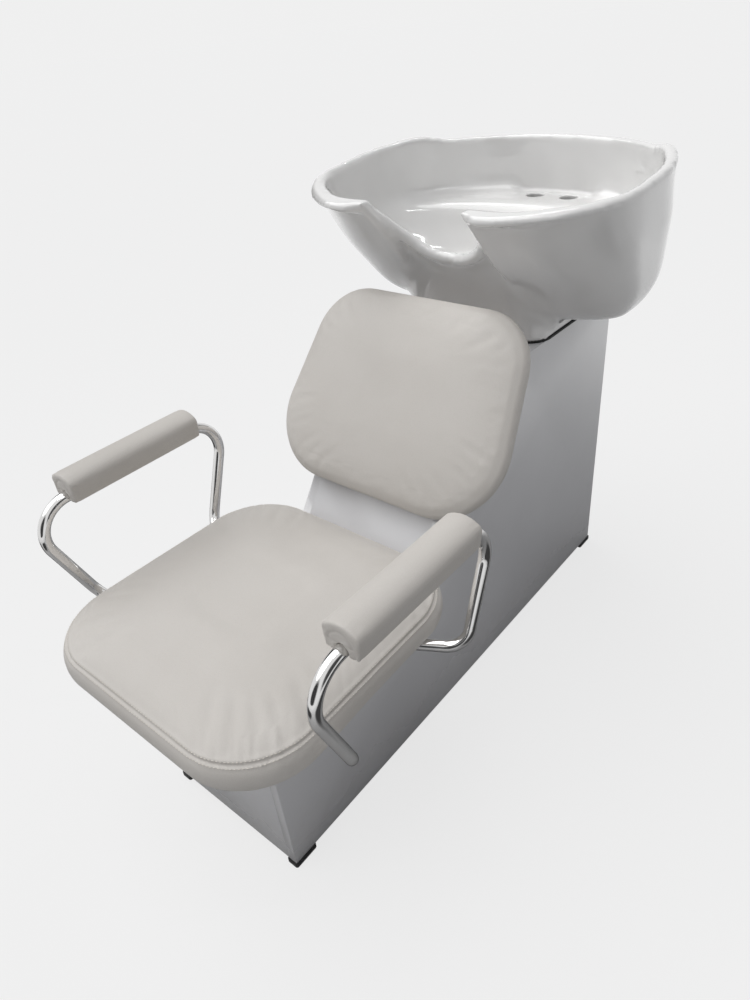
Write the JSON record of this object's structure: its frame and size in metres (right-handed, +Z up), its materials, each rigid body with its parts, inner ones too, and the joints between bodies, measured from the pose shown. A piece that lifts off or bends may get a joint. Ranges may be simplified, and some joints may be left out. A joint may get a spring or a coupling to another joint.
{
  "type": "salon backwash unit",
  "caption": "Hair washing unit: upholstered seat, back and armrests on a narrow cabinet, with a tilting ceramic neck-rest basin at its rear.",
  "frame": {"origin": "on the floor, under the middle of the overall length and width", "axes": "+Z up; +Y from the seat's front towards the basin; +X to the sitter's left, the viewer's right from the seat's front"},
  "size_m": [0.6448, 1.2199, 0.9235],
  "materials": {
    "cabinet_gloss": "white high-gloss laminate on board",
    "board": "raw chipboard and battens",
    "ply": "raw plywood",
    "leatherette": "off-white leatherette over foam, satin",
    "chrome": "polished chrome",
    "plated_steel": "zinc-plated steel",
    "black_plastic": "moulded black plastic",
    "black_rubber": "soft black rubber",
    "grey_hose": "flexible grey drain hose",
    "white_plastic": "moulded white plastic",
    "glazed_white": "white glossy glaze"
  },
  "bodies": {
    "cabinet": {"arm_bolts": "plated_steel", "arm_pad_core_left": "ply", "arm_pad_core_right": "ply", "arm_pad_left": "leatherette", "arm_pad_right": "leatherette", "arm_pad_screws": "plated_steel", "arm_tee_nuts": "plated_steel", "arm_tube_left": "chrome", "arm_tube_right": "chrome", "back_board": "ply", "back_bolts": "plated_steel", "back_cushion": "leatherette", "back_spacers": "board", "back_tee_nuts": "plated_steel", "base_panel": "board", "base_plate_bolts": "plated_steel", "corner_feet": "black_plastic", "deck_cleats": "board", "door_catch": "black_plastic", "door_hinge_leaves": "plated_steel", "door_hinge_pins": "plated_steel", "drain_hose": "grey_hose", "drain_outlet": "white_plastic", "foot_gasket": "black_rubber", "foot_screws": "plated_steel", "front_panel": "cabinet_gloss", "hinge_frame_screws": "plated_steel", "inner_brace": "board", "outlet_nut": "white_plastic", "rear_rail_bottom": "cabinet_gloss", "rear_rail_top": "cabinet_gloss", "seat_board": "ply", "seat_bolts": "plated_steel", "seat_cushion": "leatherette", "seat_deck": "board", "seat_tee_nuts": "plated_steel", "side_panel_left": "cabinet_gloss", "side_panel_right": "cabinet_gloss", "slope_panel": "cabinet_gloss", "tilt_base_plate": "plated_steel", "tilt_friction_washers": "plated_steel", "tilt_hinge_pin": "plated_steel", "tilt_nuts": "plated_steel", "top_deck": "cabinet_gloss", "tube_plugs": "black_plastic"},
    "basin": {"basin": "glazed_white", "tilt_top_plate": "plated_steel", "basin_bolts": "plated_steel", "waste_flange": "chrome", "waste_seal": "black_rubber", "waste_nut": "white_plastic", "waste_tail": "white_plastic"},
    "strainer": {"waste_strainer": "chrome"},
    "door": {"rear_door": "cabinet_gloss", "door_leaf_plates": "plated_steel", "hinge_door_screws": "plated_steel", "door_knob": "chrome", "catch_plate": "plated_steel"}
  },
  "joints": [
    {"name": "basin_tilt", "type": "hinge", "parent": "cabinet", "child": "basin", "pos_m": [0, 0.5005, 0.641], "axis": [-1, 0, 0], "range_deg": [0, 10], "deforming": ["drain_hose"]},
    {"name": "strainer_lift", "type": "slide", "parent": "basin", "child": "strainer", "axis": [0, 0, 1], "range_m": [0, 0.05]},
    {"name": "door_swing", "type": "hinge", "parent": "cabinet", "child": "door", "pos_m": [-0.1285, 0.5545, 0.336], "axis": [0, 0, 1], "range_deg": [0, 110]}
  ]
}
